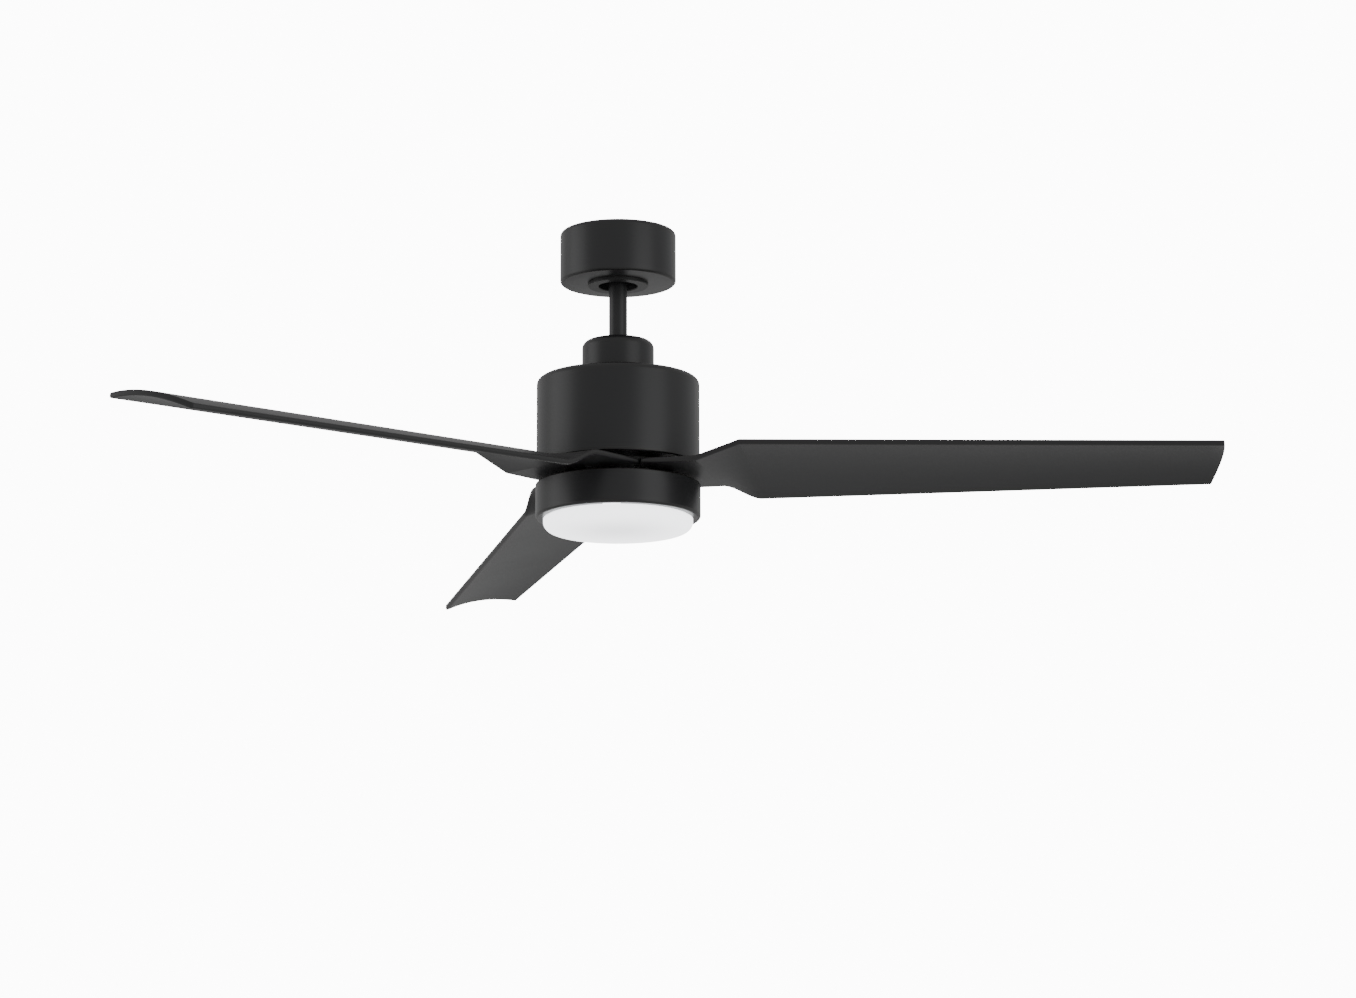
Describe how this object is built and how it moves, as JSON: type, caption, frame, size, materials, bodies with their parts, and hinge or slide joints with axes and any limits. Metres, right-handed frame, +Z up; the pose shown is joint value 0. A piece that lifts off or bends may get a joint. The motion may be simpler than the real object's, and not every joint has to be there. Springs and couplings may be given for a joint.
{
  "type": "ceiling fan with light",
  "caption": "Satin black ceiling fan with blades sweeping from flat root plates, hung on a short downrod, with a round light under the motor.",
  "frame": {"origin": "on the fan's axis in the ceiling plane, at the centre of the hanger bracket's two slots", "axes": "+Z up along the downrod and motor axis; +X along the hanger bracket's strap; +Y square to both, away from the wire hole's side"},
  "size_m": [1.2135, 1.2113, 0.355],
  "materials": {
    "satin_black_paint": "satin black powder coat",
    "satin_black_plastic": "satin black moulded plastic",
    "zinc_steel": "bright zinc plated",
    "bearing_steel": "ground and polished",
    "black_screws": "black oxide",
    "lamination_steel": "stamped laminations",
    "cast_aluminium": "die cast",
    "copper_winding": "enamelled copper",
    "magnet_ferrite": "sintered",
    "circuit_board": "green solder mask",
    "led_board_white": "white reflective mask",
    "led_phosphor": "yellow phosphor",
    "component_black": "moulded electronic parts",
    "white_nylon": "moulded nylon",
    "rubber_black": "soft rubber",
    "opal_diffuser": "opal acrylic, satin"
  },
  "bodies": {
    "ceiling_mount": {"hanger_bracket": "zinc_steel", "terminal_block": "white_nylon", "terminal_screws": "zinc_steel", "earth_screw": "zinc_steel", "canopy": "satin_black_paint", "canopy_screws": "black_screws", "canopy_trim_ring": "satin_black_plastic"},
    "hanging_frame": {"hanger_ball": "satin_black_plastic", "ball_pin": "zinc_steel", "ball_set_screw": "zinc_steel", "downrod": "satin_black_paint", "coupling": "zinc_steel", "clevis_pin": "zinc_steel", "cotter_clip": "zinc_steel", "coupling_set_screws": "zinc_steel", "coupling_lock_nuts": "zinc_steel", "coupling_cover": "satin_black_paint", "cover_grommet": "rubber_black", "motor_housing": "satin_black_paint", "flange_screws": "zinc_steel", "hanger_plate": "zinc_steel", "main_shaft": "bearing_steel", "upper_spacer": "zinc_steel", "upper_bearing_inner_race": "bearing_steel", "stator_hub": "cast_aluminium", "stator_core": "lamination_steel", "stator_coils": "copper_winding", "lower_bearing_inner_race": "bearing_steel", "lower_spacer": "zinc_steel", "driver_board": "circuit_board", "board_standoffs": "white_nylon", "board_components": "component_black", "light_plate": "zinc_steel", "shaft_nut": "zinc_steel", "light_housing": "satin_black_paint", "light_screws": "zinc_steel", "led_driver": "white_nylon", "led_board": "led_board_white", "led_chips": "led_phosphor", "led_standoffs": "zinc_steel", "led_board_screws": "zinc_steel"},
    "rotor": {"rotor_top_shell": "cast_aluminium", "rotor_bottom_shell": "cast_aluminium", "rotor_screws": "zinc_steel", "rotor_back_iron_ring": "lamination_steel", "magnets": "magnet_ferrite", "upper_bearing_outer_race": "bearing_steel", "lower_bearing_outer_race": "bearing_steel", "upper_bearing_balls": "bearing_steel", "lower_bearing_balls": "bearing_steel", "blade_hub": "satin_black_paint", "hub_screws": "zinc_steel", "blade_1": "satin_black_plastic", "blade_2": "satin_black_plastic", "blade_3": "satin_black_plastic", "blade_washers": "rubber_black", "blade_screws": "black_screws"},
    "diffuser_cover": {"diffuser": "opal_diffuser"}
  },
  "joints": [
    {"name": "ball_swing", "type": "hinge", "parent": "ceiling_mount", "child": "hanging_frame", "pos_m": [0, 0, -0.036], "axis": [1, 0, 0], "range_deg": [-15, 15]},
    {"name": "blade_spin", "type": "hinge", "parent": "hanging_frame", "child": "rotor", "pos_m": [0, 0, -0.24], "axis": [0, 0, 1], "continuous": true},
    {"name": "diffuser_twist", "type": "hinge", "parent": "hanging_frame", "child": "diffuser_cover", "pos_m": [0, 0, -0.341], "axis": [0, 0, 1], "range_deg": [0, 25]}
  ]
}
